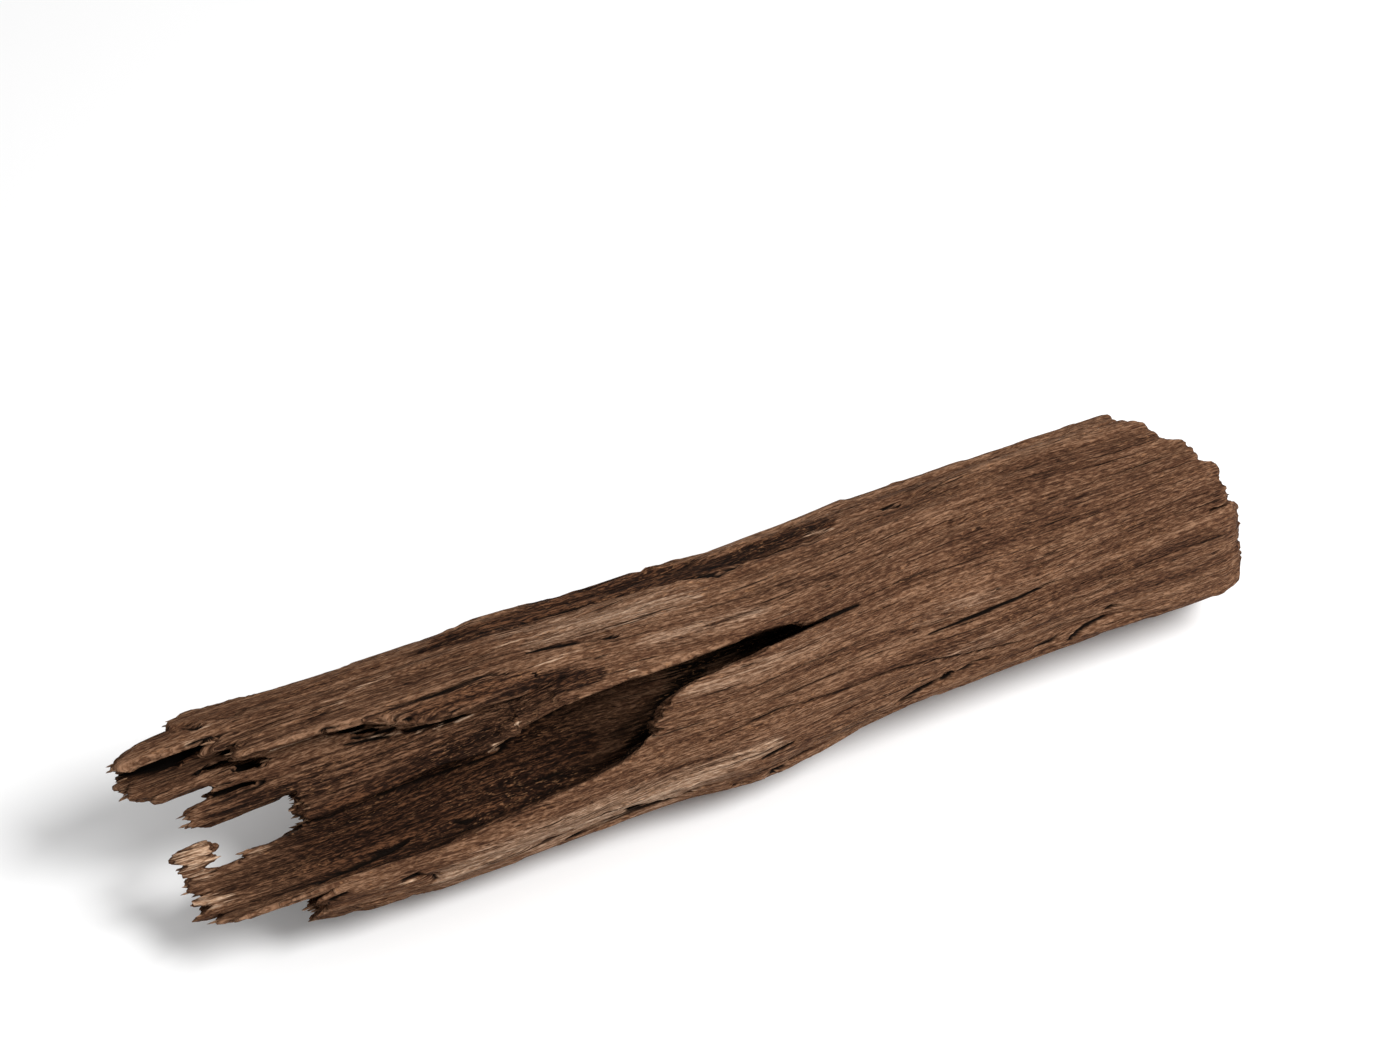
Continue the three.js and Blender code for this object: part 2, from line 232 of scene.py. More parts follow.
    pales: tuple[Streak, ...] = (
        Streak(((-204, 31.5), (-199, 34), (-194, 36.5), (-190, 38.3), (-186, 38)), 0.5, 0.6),
        Streak(((-186, 23.3), (-175, 23), (-165, 22), (-155, 21.8)), 0.5, 0.8),
        Streak(((-137, 33), (-125, 33.5)), 1.0, 0.6),
        Streak(((-147, 32), (-143, 29)), 1.2, 0.5),
        Streak(((-150, 20.4), (-138, 18.2)), 0.5, 0.8),
        Streak(((-138, 15), (-124, 12.2)), 0.6, 0.9),
        Streak(((-120, 11), (-117, 10.6)), 0.7, 0.9),
        Streak(((-112, 10.4), (-109, 10)), 0.7, 0.8),
        Streak(((-104, 9.8), (-99, 10.2)), 0.6, 0.7),
        Streak(((-96, -4), (-91, -3)), 0.8, 1.0),
        Streak(((-83, 1), (-81, 1.5)), 0.8, 0.8),
        Streak(((-97, 28), (-90, 28.5)), 0.8, 0.5),
        Streak(((-83, 31), (-68, 31)), 0.8, 0.5),
        Streak(((-70, 19), (-55, 18.5)), 0.7, 0.5),
        Streak(((-190, -11), (-180, -10.5)), 1.0, 0.8),
        Streak(((-217, -22), (-203, -22)), 2.6, 0.9),
        Streak(((-214, -6), (-203, -6)), 6.0, 1.0),
        Streak(((-148, -38.5), (-146, -36)), 0.8, 0.7),
        Streak(((-144, -39.5), (-140, -39.5)), 0.8, 0.8),
        Streak(((48, 33), (58, 31)), 1.2, 0.4),
        Streak(((15, 7), (35, 6.6)), 0.8, 0.3),
        Streak(((-35, 6), (-32, 6)), 0.7, 0.6),
    )
    lifts: tuple[Streak, ...] = (
        Streak(((-183, 24.5), (-160, 23.8)), 1.6, 0.8),
        Streak(((-152, 23.8), (-136, 21.8)), 1.6, 0.8),
        Streak(((-143, 19), (-119, 18.3)), 1.6, 0.9),
        Streak(((-120, 15.6), (-104, 15.4)), 1.5, 0.7),
        Streak(((-70, 20.5), (-45, 20)), 1.8, 0.6),
        Streak(((-45, 32), (12, 28.5), (45, 28.5)), 1.8, 0.9, 4),
        Streak(((-18, 38.7), (13, 37.2), (37, 39.4), (66, 39.7)), 1.8, 1.0, 4),
    )

    def seen(self, wood: np.ndarray) -> np.ndarray:
        """Carries points of the wood onto the plane of the marks.

        Args:
            wood: points in wood millimetres.

        Returns:
            Where each point is seen on the plane, as (x, m).
        """
        sight = np.array(self.sight)
        reach = (sight[2] - self.plane) / (sight[2] - wood[:, 2])
        return sight[:2] + (wood[:, :2] - sight[:2]) * reach[:, None]

    def facing(self, wood: np.ndarray, normals: np.ndarray) -> np.ndarray:
        """Tells how squarely points face the sight point.

        Args:
            wood: points in wood millimetres.
            normals: the wood's outward direction at each point.

        Returns:
            The cosine of the angle between the outward direction and the line to the sight point.
        """
        ray = np.array(self.sight) - wood
        ray /= np.linalg.norm(ray, axis=1)[:, None]
        return np.sum(ray * normals, axis=1)

    def mask(self, streaks: tuple[Streak, ...], seen: np.ndarray, narrow: np.ndarray) -> np.ndarray:
        """Lays streaks over each other.

        Args:
            streaks: the marks.
            seen: the points as (x, m).
            narrow: what the width of the marks is multiplied by at each point.

        Returns:
            The strongest mark at each point, from 0 to 1.
        """
        total = np.zeros(len(seen))
        for streak in streaks:
            total = np.maximum(total, streak.at(seen, narrow))
        return total


def smooth_step(low: float, high: float, value: np.ndarray) -> np.ndarray:
    """Eases from 0 to 1.

    Args:
        low: where the result is 0.
        high: where the result is 1.
        value: what is eased.

    Returns:
        The eased value, between 0 and 1.
    """
    share = np.clip((value - low) / (high - low), 0, 1)
    return share * share * (3 - 2 * share)


def follow(line: Line, x: np.ndarray) -> np.ndarray:
    """Returns the height of a line of points (x, height) at each x."""
    return np.interp(x, *zip(*line))


def linear(part: float) -> float:
    """Turns one part of a screen colour, from 0 to 255, into its linear value from 0 to 1."""
    return part / 255 / 12.92 if part < 10 else ((part / 255 + 0.055) / 1.055) ** 2.4


def tone(colour: Triple) -> tuple[float, float, float, float]:
    """Turns a screen colour into the linear colour that a socket takes."""
    return (*(linear(part) for part in colour), 1.0)


class Nodes:
    """Adds nodes to a tree. A socket given as an input is linked, and anything else is set as its value."""

    def __init__(self, tree: bpy.types.NodeTree) -> None:
        """Starts on a tree."""
        self.tree = tree

    def add(self, kind: str, inputs: dict[str | int, Value] | None = None, **settings: Value) -> Value:
        """Adds one node.

        Args:
            kind: Blender's name for the type of node.
            inputs: what each input gets, by its name or place.
            settings: properties of the node.

        Returns:
            The node.
        """
        node = self.tree.nodes.new(kind)
        for name, value in settings.items():
            setattr(node, name, value)
        for key, value in (inputs or {}).items():
            if isinstance(value, Socket):
                self.tree.links.new(value, node.inputs[key])
            else:
                node.inputs[key].default_value = value
        return node

    def math(self, operation: str, *values: Value) -> Socket:
        """Returns the result of a Math node on the values, in their order."""
        return self.add("ShaderNodeMath", dict(enumerate(values)), operation=operation).outputs[0]

    def vector(self, operation: str, *values: Value) -> Socket:
        """Returns the result of a Vector Math node on the values, in their order."""
        return self.add("ShaderNodeVectorMath", dict(enumerate(values)), operation=operation).outputs[0]

    def ease(self, value: Value, low: float, high: float, to: Point = (0.0, 1.0)) -> Socket:
        """Eases a value from one range into another.

        Args:
            value: the value.
            low: where the result is the first of the new range.
            high: where the result is the last of the new range.
            to: the new range.

        Returns:
            The eased value.
        """
        inputs = {"Value": value, "From Min": low, "From Max": high, "To Min": to[0], "To Max": to[1]}
        return self.add("ShaderNodeMapRange", inputs, interpolation_type="SMOOTHSTEP").outputs["Result"]

    def mix(self, share: Value, first: Value, second: Value, how: str = "MIX") -> Socket:
        """Mixes two colours.

        Args:
            share: how much of the second colour, from 0 to 1.
            first: the first colour.
            second: the second colour.
            how: Blender's name for the way of mixing.

        Returns:
            The mixed colour.
        """
        # Inputs 6 and 7 and output 2 of the Mix node are its colours.
        inputs = {0: share, 6: first, 7: second}
        return self.add("ShaderNodeMix", inputs, data_type="RGBA", blend_type=how).outputs[2]

    def ramp(self, value: Value, stops: tuple[float, ...], colours: Colours) -> Socket:
        """Turns a value into a colour.

        Args:
            value: the value, from 0 to 1.
            stops: where each colour lies on the ramp.
            colours: the screen colours.

        Returns:
            The colour.
        """
        node = self.add("ShaderNodeValToRGB", {0: value})
        elements = node.color_ramp.elements
        for element, end in zip(elements, (0, -1)):
            element.position = stops[end]
            element.color = tone(colours[end])
        for place, colour in zip(stops[1:-1], colours[1:-1]):
            elements.new(place).color = tone(colour)
        return node.outputs[0]


def new_group(
    name: str, kind: str, inputs: dict[str, str], outputs: dict[str, str]
) -> tuple[Nodes, Value, Value]:
    """Starts a node group.

    Args:
        name: the group's name.
        kind: Blender's name for the type of tree.
        inputs: the type of each named input.
        outputs: the type of each named output.

    Returns:
        The group's nodes, its input node and its output node.
    """
    tree = bpy.data.node_groups.new(name, kind)
    for in_out, sockets in (("INPUT", inputs), ("OUTPUT", outputs)):
        for title, socket in sockets.items():
            tree.interface.new_socket(title, in_out=in_out, socket_type=socket)
    nodes = Nodes(tree)
    return nodes, nodes.add("NodeGroupInput"), nodes.add("NodeGroupOutput")


@dataclass(frozen=True)
class Layer:
    """A layer of noise in the wood. The size of its features, along the grain first, is in millimetres."""

    size: Triple
    detail: float
    rough: float
    seed: float
    eased: Point | None = None
    seed_step: Triple = (7.1, 3.7, 5.3)

    def add(self, nodes: Nodes, place: Socket) -> Socket:
        """Adds the layer to a tree.

        Args:
            nodes: the tree's nodes.
            place: coordinates that follow the grain, in millimetres.

        Returns:
            A value from 0 to 1, eased over the layer's own range where it has one.
        """
        shares = tuple(1 / length for length in self.size)
        start = tuple(self.seed * step for step in self.seed_step)
        moved = nodes.vector("MULTIPLY_ADD", place, shares, start)
        inputs = {"Vector": moved, "Scale": 1.0, "Detail": self.detail, "Roughness": self.rough}
        value = nodes.add("ShaderNodeTexNoise", inputs, noise_dimensions="3D").outputs[0]
        return nodes.ease(value, *self.eased) if self.eased else value


@dataclass(frozen=True)
class WoodGrain:
    """The fine grain that both finishes share, and how far its parts stand out."""

    bands: Layer = Layer((120, 6.5, 6.5), 4, 0.6, 1, (0.3, 0.7))
    fibres: Layer = Layer((30, 0.85, 0.85), 3, 0.6, 2, (0.28, 0.72))
    grit: Layer = Layer((3.0, 0.5, 0.5), 2, 0.6, 7, (0.3, 0.7))
    lines: Layer = Layer((42, 0.8, 0.8), 2, 0.5, 3, (0.37, 0.29))
    checks: Layer = Layer((9, 1.1, 1.1), 3, 0.6, 9, (0.36, 0.26))
    flecks: Layer = Layer((2.4, 0.5, 0.5), 2, 0.5, 5, (0.58, 0.70))
    fleck_patches: Layer = Layer((38, 7, 7), 2, 0.5, 4, (0.40, 0.62))
    fibre_height: float = 0.55
    grit_height: float = 0.45
    line_height: float = -0.7

    def group(self) -> bpy.types.NodeTree:
        """Builds the shader group that gives the parts of the grain, and its height.

        Returns:
            The group. Its input is a place in the grain, in millimetres.
        """
        names = ("Bands", "Fibres", "Grit", "Lines", "Flecks", "Height")
        outputs = {name: "NodeSocketFloat" for name in names}
        nodes, start, end = new_group("wood_grain", "ShaderNodeTree", {"Place": "NodeSocketVector"}, outputs)
        place = start.outputs["Place"]
        bands = self.bands.add(nodes, place)
        fibres = self.fibres.add(nodes, place)
        grit = self.grit.add(nodes, place)
        lines = nodes.math("MAXIMUM", self.lines.add(nodes, place), self.checks.add(nodes, place))
        flecks = nodes.math("MULTIPLY", self.fleck_patches.add(nodes, place), self.flecks.add(nodes, place))
        height = nodes.math("MULTIPLY", grit, self.grit_height)
        height = nodes.math("MULTIPLY_ADD", fibres, self.fibre_height, height)
        height = nodes.math("MULTIPLY_ADD", lines, self.line_height, height)
        for name, socket in zip(names, (bands, fibres, grit, lines, flecks, height)):
            nodes.tree.links.new(socket, end.inputs[name])
        return nodes.tree


def painted(nodes: Nodes, name: Mask, output: str = "Fac") -> Socket:
    """Returns one of the wood's own values in a material."""
    return nodes.add("ShaderNodeAttribute", attribute_name=name.value).outputs[output]


@dataclass(frozen=True)
class Cover:
    """How a mark covers the wood: how far the grain moves its edge, and when it covers fully."""

    mark: Mask
    sway: float
    full: float
    start: float = 0.1
    fade: Point = (0.02, 0.3)

    def over(self, nodes: Nodes, fibres: Socket) -> Socket:
        """Breaks up the edge of the mark along the grain.

        Args:
            nodes: the material's nodes.
            fibres: the fibres of the grain, from 0 to 1.

        Returns:
            How much the mark covers, from 0 to 1.
        """
        mark = painted(nodes, self.mark)
        moved = nodes.math("MULTIPLY_ADD", nodes.math("SUBTRACT", fibres, 0.5), self.sway, mark)
        return nodes.math("MULTIPLY", nodes.ease(moved, self.start, self.full), nodes.ease(mark, *self.fade))


class Finish:
    """What the finishes share: a material whose shader is bumped by the grain."""

    def start(self, name: str, grain: bpy.types.NodeTree) -> tuple[bpy.types.Material, Nodes, Value]:
        """Starts a material.

        Args:
            name: the material's name.
            grain: the shader group of the fine grain.

        Returns:
            The material, its nodes and the outputs of the grain.
        """
        material = bpy.data.materials.new(name)
        material.use_nodes = True
        material.node_tree.nodes.clear()
        nodes = Nodes(material.node_tree)
        group = nodes.add("ShaderNodeGroup", node_tree=grain)
        nodes.tree.links.new(painted(nodes, Mask.GRAIN, "Vector"), group.inputs["Place"])
        return material, nodes, group.outputs

    def end(self, nodes: Nodes, height: Socket, bump: Point, looks: dict[str, Value]) -> None:
        """Ends a material with its shader.

        Args:
            nodes: the material's nodes.
            height: the height of the grain.
            bump: how strong the bump is, and how high in metres.
            looks: the other inputs of the shader.
        """
        inputs = {"Height": height, "Strength": bump[0], "Distance": bump[1]}
        normal = nodes.add("ShaderNodeBump", inputs).outputs[0]
        shader = nodes.add("ShaderNodeBsdfPrincipled", looks | {"Normal": normal})
        nodes.add("ShaderNodeOutputMaterial", {"Surface": shader.outputs[0]})


@dataclass(frozen=True)
class WeatheredWood(Finish):
    """Dry, weathered wood, with painted shade in its hollow, slits, creases, low relief and some dark
    streaks. Its colours are screen colours from 0 to 255.
    """

    stops: tuple[float, ...] = (0.25, 0.45, 0.65, 0.95)
    sound: Colours = ((43, 26, 17), (76, 49, 34), (102, 71, 51), (146, 111, 86))
    dark: Colours = ((10, 5, 3), (26, 14, 8), (44, 26, 17), (104, 69, 47))
    silver: Colours = ((74, 53, 40), (120, 91, 70), (156, 124, 100), (194, 165, 141))
    torn: Colours = ((88, 61, 44), (136, 103, 78), (180, 143, 114), (220, 188, 160))
    line: Triple = (26, 15, 9)
    fleck: Triple = (188, 138, 98)
    # Near-black painted shade, laid in the slits and in the deepest shade of the hollow.
    slit: Triple = (16, 9, 5)
    ring: Triple = (120, 98, 82)
    band_share: float = 0.22
    fibre_share: float = 0.25
    grit_share: float = 0.40
    relief_share: float = 0.15
    edge_share: float = 0.45
    least_share: float = -0.13
    line_share: float = 0.85
    fleck_share: float = 0.38
    bleach: Cover = Cover(Mask.GREY, 0.4, 1.0)
    stain_and_shade: Cover = Cover(Mask.DARK, -0.5, 0.95)
    shade: Cover = Cover(Mask.SHADE, -0.4, 0.8)
    tear: Cover = Cover(Mask.PALE, 1.1, 1.0)
    crack_shade: Cover = Cover(Mask.SLIT, -0.4, 0.6)
    ring_width: float = 2.1
    ring_wander: Layer = Layer((9, 6, 3), 3, 0.6, 8)
    ring_sway: float = 1.6
    ring_change: Point = (0.3, 1.0)
    ring_shares: Point = (0.1, 0.8)
    rough_change: Point = (0.2, 0.9)
    roughness: Point = (0.72, 0.95)
    specular: float = 0.08
    bump: Point = (0.9, 0.0011)

    def material(self, grain: bpy.types.NodeTree) -> bpy.types.Material:
        """Builds the material.

        Args:
            grain: the shader group of the fine grain.

        Returns:
            The material.
        """
        material, nodes, parts = self.start("weathered_wood", grain)
        share = self.lightness(nodes, parts)
        fibres = parts["Fibres"]
        side_grain = nodes.ease(painted(nodes, Mask.RINGS), 1.0, 0.0)
        lines = nodes.math("MULTIPLY", nodes.math("MULTIPLY", parts["Lines"], side_grain), self.line_share)
        flecks = nodes.math("MULTIPLY", parts["Flecks"], self.fleck_share)
        ramps = (self.sound, self.silver, self.dark, self.torn)
        sound, silver, dark, torn = (nodes.ramp(share, self.stops, colours) for colours in ramps)
        colour = nodes.mix(self.bleach.over(nodes, fibres), sound, silver)
        # Dark streaks, partly darker wood and partly painted shade.
        colour = nodes.mix(self.stain_and_shade.over(nodes, fibres), colour, dark)
        # Painted shade: the hollow is darkened with the dark ramp, most where its trough lies open.
        colour = nodes.mix(painted(nodes, Mask.HOLLOW), colour, dark)
        # Painted shade: the deepest shade in the mouth of the hollow, in the near-black colour of the slits.
        colour = nodes.mix(self.shade.over(nodes, fibres), colour, tone(self.slit))
        colour = nodes.mix(lines, colour, tone(self.line))
        colour = nodes.mix(flecks, colour, tone(self.fleck))
        colour = self.rings(nodes, colour)
        colour = nodes.mix(self.tear.over(nodes, fibres), colour, torn)
        # Painted shade: the slits are coloured near-black, as the shade inside them.
        colour = nodes.mix(self.crack_shade.over(nodes, fibres), colour, tone(self.slit))
        rough = nodes.ease(share, *self.rough_change, self.roughness)
        looks = {"Base Color": colour, "Roughness": rough, "Specular IOR Level": self.specular}
        self.end(nodes, parts["Height"], self.bump, looks)
        return material

    def lightness(self, nodes: Nodes, parts: Value) -> Socket:
        """Adds up how light the wood is, with painted shade in low relief and in creases.

        Args:
            nodes: the material's nodes.
            parts: the outputs of the grain.

        Returns:
            A value from about 0 in the darkest grain to 1 on worn edges.
        """
        total: Value = self.least_share
        for value, share in (
            (parts["Bands"], self.band_share),
            (parts["Fibres"], self.fibre_share),
            (parts["Grit"], self.grit_share),
            # Painted shade in the low parts of the relief, painted light on its high parts.
            (painted(nodes, Mask.RELIEF), self.relief_share),
            # Paler worn edges, and painted shade in creases.
            (painted(nodes, Mask.EDGE), self.edge_share),
        ):
            total = nodes.math("MULTIPLY_ADD", value, share, total)
        return total

    def rings(self, nodes: Nodes, colour: Socket) -> Socket:
        """Lays growth rings over the end grain.

        Args:
            nodes: the material's nodes.
            colour: the colour below.

        Returns:
            The colour with rings where the end grain shows.
        """
        wander = self.ring_wander.add(nodes, painted(nodes, Mask.GRAIN, "Vector"))
        radius = nodes.math("MULTIPLY_ADD", wander, self.ring_sway, painted(nodes, Mask.PITH))
        wave = nodes.math("FRACT", nodes.math("DIVIDE", radius, self.ring_width))
        share = nodes.ease(wave, *self.ring_change, self.ring_shares)
        share = nodes.math("MULTIPLY", share, painted(nodes, Mask.RINGS))
        return nodes.mix(share, colour, tone(self.ring), "MULTIPLY")


@dataclass(frozen=True)
class TornFibre(Finish):
    """Fresh, pale fibre where the wood tore. Its colours are screen colours from 0 to 255."""

    stops: Point = (0.15, 0.9)
    colours: Colours = ((74, 50, 36), (168, 132, 103))
    line: Triple = (66, 44, 31)
    line_share: float = 0.6
    fibre_share: float = 0.5
    grit_share: float = 0.5
    roughness: float = 0.85
    specular: float = 0.1
    bump: Point = (0.7, 0.0004)

    def material(self, grain: bpy.types.NodeTree) -> bpy.types.Material:
        """Builds the material.

        Args:
            grain: the shader group of the fine grain.

        Returns:
            The material.
        """
        material, nodes, parts = self.start("torn_fibre", grain)
        share = nodes.math("MULTIPLY", parts["Grit"], self.grit_share)
        share = nodes.math("MULTIPLY_ADD", parts["Fibres"], self.fibre_share, share)
        lines = nodes.math("MULTIPLY", parts["Lines"], self.line_share)
        colour = nodes.mix(lines, nodes.ramp(share, self.stops, self.colours), tone(self.line))
        looks = {"Base Color": colour, "Roughness": self.roughness, "Specular IOR Level": self.specular}
        self.end(nodes, parts["Height"], self.bump, looks)
        return material


def evaluated_mesh(source: bpy.types.Object) -> bpy.types.Mesh:
    """Makes a plain mesh of what an object's modifiers give.

    Args:
        source: the object.

    Returns:
        A new mesh, with the values that the wood carries.
    """
    graph = bpy.context.evaluated_depsgraph_get()
    made = source.evaluated_get(graph)
    return bpy.data.meshes.new_from_object(made, preserve_all_data_layers=True, depsgraph=graph)


def add_object(name: str, mesh: bpy.types.Mesh) -> bpy.types.Object:
    """Adds a mesh to the scene as an object at the origin.

    Args:
        name: the object's name.
        mesh: its mesh.

    Returns:
        The object.
    """
    added = bpy.data.objects.new(name, mesh)
    bpy.context.scene.collection.objects.link(added)
    return added


def run_tree(
    source: bpy.types.Object, tree: bpy.types.NodeTree, values: dict[str, Value], name: str
) -> bpy.types.Object:
    """Runs a Geometry Nodes tree on an object and keeps the result as a plain mesh.

    Args:
        source: the object that the tree reads.
        tree: the tree.
        values: what each named input gets.
        name: the new piece's name.

    Returns:
        A new object at the origin, with no modifier.
    """
    modifier = source.modifiers.new(tree.name, "NODES")
    modifier.node_group = tree
    for item in tree.interface.items_tree:
        if item.in_out == "INPUT" and item.name in values:
            modifier[item.identifier] = values[item.name]
    mesh = evaluated_mesh(source)
    source.modifiers.remove(modifier)
    mesh.name = name
    return add_object(name, mesh)


def read_rows(items: Value, name: str) -> np.ndarray:
    """Reads a vector from each item of one of a mesh's lists.

    Args:
        items: the list, such as the mesh's points.
        name: Blender's name for the vector.

    Returns:
        The vectors, one row each.
    """
    flat = np.empty(len(items) * 3)
    items.foreach_get(name, flat)
    return flat.reshape(-1, 3)


def read_pairs(mesh: bpy.types.Mesh) -> tuple[np.ndarray, np.ndarray]:
    """Reads the edges of a mesh, each taken both ways.

    Args:
        mesh: the mesh.

    Returns:
        The number of the point at one end of each edge, and of the point at its other end.
    """
    ends = np.empty(len(mesh.edges) * 2, dtype=np.int32)
    mesh.edges.foreach_get("vertices", ends)
    first, second = ends.reshape(-1, 2).T
    return np.concatenate((first, second)), np.concatenate((second, first))


def store(mesh: bpy.types.Mesh, name: Mask, values: np.ndarray) -> None:
    """Stores a value or a vector at each point of a mesh.

    Args:
        mesh: the mesh.
        name: which of the wood's values it is.
        values: one number, or one row of three, for each point.
    """
    vector = values.ndim == 2
    layer = mesh.attributes.new(name.value, "FLOAT_VECTOR" if vector else "FLOAT", "POINT")
    layer.data.foreach_set("vector" if vector else "value", values.astype(np.float32).ravel())


def stored(nodes: Nodes, name: Mask, kind: str = "FLOAT") -> Socket:
    """Returns one of the wood's own values in a Geometry Nodes tree."""
    node = nodes.add("GeometryNodeInputNamedAttribute", {"Name": name.value}, data_type=kind)
    return node.outputs["Attribute"]


@dataclass(frozen=True)
class Relief:
    """The carving of the branch: ridges, sheets, slits and torn fibre ends, with painted shade in its low
    parts. Heights are in millimetres.
    """

    swell: Layer = Layer((120, 20, 20), 2, 0.5, 11)
    ridge: Layer = Layer((62, 3.4, 3.4), 2, 0.55, 12)
    fibre: Layer = Layer((24, 1.7, 1.7), 1, 0.5, 13)
    sheets: Layer = Layer((75, 8.5, 8.5), 3, 0.55, 14)
    steps: Layer = Layer((260, 4.2, 3.2), 1, 0.5, 15, (0.40, 0.60))
    teeth: Layer = Layer((260, 1.5, 1.5), 1, 0.5, 16, (0.35, 0.65))
    heights: tuple[tuple[str, float], ...] = (
        ("Swell", 1.0),
        ("Ridge", 1.7),
        ("Fibre", 0.8),
        ("Sheet", 0.75),
        ("Lift", 1.0),
        ("Slit", 2.6),
        ("Ragged", 5.5),
    )
    sheet_count: float = 7.0
    sheet_edge: float = 0.22
    step_share: float = 0.6
    tooth_share: float = 0.4
    end_start: float = -0.15
    ragged_change: Point = (150, -60)
    ragged_shares: Point = (0.15, 1.0)
    shade_change: Point = (-0.9, 0.9)

    def tree(self) -> bpy.types.NodeTree:
        """Builds the Geometry Nodes tree that carves the branch.

        Returns:
            The tree. Its inputs are the branch, its material and the heights.
        """
        shape = {"Geometry": "NodeSocketGeometry"}
        inputs = shape | {"Material": "NodeSocketMaterial"}
        inputs |= {name: "NodeSocketFloat" for name, _ in self.heights}
        nodes, start, end = new_group("driftwood_relief", "GeometryNodeTree", inputs, shape)
        size = start.outputs
        place = stored(nodes, Mask.GRAIN, "FLOAT_VECTOR")
        height = self.height(nodes, place, size)
        slit = nodes.math("MULTIPLY", stored(nodes, Mask.SLIT), size["Slit"])
        carved = nodes.math("SUBTRACT", height, slit)
        normal = nodes.add("GeometryNodeInputNormal").outputs[0]
        out = nodes.add("ShaderNodeVectorMath", {0: normal, "Scale": carved}, operation="SCALE").outputs[0]
        slide = nodes.math("MULTIPLY", self.cut_back(nodes, place), size["Ragged"])
        along = nodes.add("ShaderNodeCombineXYZ", {"X": slide}).outputs[0]
        inputs = {"Geometry": size["Geometry"], "Offset": nodes.vector("ADD", out, along)}
        moved = nodes.add("GeometryNodeSetPosition", inputs).outputs[0]
        # Painted shade and light: low parts of the carving are stored darker and high parts lighter, for the
        # colour.
        shade = nodes.ease(height, *self.shade_change)
        inputs = {"Geometry": moved, "Name": Mask.RELIEF.value, "Value": shade}
        kept = nodes.add("GeometryNodeStoreNamedAttribute", inputs).outputs[0]
        real = nodes.add("GeometryNodeRealizeInstances", {"Geometry": kept}).outputs[0]
        dressed = nodes.add("GeometryNodeSetMaterial", {"Geometry": real, "Material": size["Material"]})
        nodes.tree.links.new(dressed.outputs[0], end.inputs["Geometry"])
        return nodes.tree

    def height(self, nodes: Nodes, place: Socket, size: Value) -> Socket:
        """Adds up the height of the wood's surface, without its slits.

        Args:
            nodes: the tree's nodes.
            place: coordinates that follow the grain.
            size: the tree's inputs.

        Returns:
            The height, in millimetres.
        """
        levels = nodes.math("MULTIPLY", self.sheets.add(nodes, place), self.sheet_count)
        edge = nodes.ease(nodes.math("FRACT", levels), 0.0, self.sheet_edge)
        sheet = nodes.math("ADD", nodes.math("FLOOR", levels), edge)
        height: Value = 0.0
        for value, middle, name in (
            (self.swell.add(nodes, place), 0.5, "Swell"),
            (self.ridge.add(nodes, place), 0.5, "Ridge"),
            (self.fibre.add(nodes, place), 0.5, "Fibre"),
            (sheet, self.sheet_count / 2, "Sheet"),
            (stored(nodes, Mask.LIFT), 0.0, "Lift"),
        ):
            height = nodes.math("MULTIPLY_ADD", nodes.math("SUBTRACT", value, middle), size[name], height)
        return height

    def cut_back(self, nodes: Nodes, place: Socket) -> Socket:
        """Tells how far the fibre ends are cut back: fully at the splintered end, little at the blunt one.

        Args:
            nodes: the tree's nodes.
            place: coordinates that follow the grain.

        Returns:
            A share of the full cut.
        """
        ends = nodes.math("MULTIPLY_ADD", self.teeth.add(nodes, place), self.tooth_share, self.end_start)
        ends = nodes.math("MULTIPLY_ADD", self.steps.add(nodes, place), self.step_share, ends)
        position = nodes.add("GeometryNodeInputPosition").outputs[0]
        x = nodes.add("ShaderNodeSeparateXYZ", {0: position}).outputs["X"]
        return nodes.math("MULTIPLY", ends, nodes.ease(x, *self.ragged_change, self.ragged_shares))


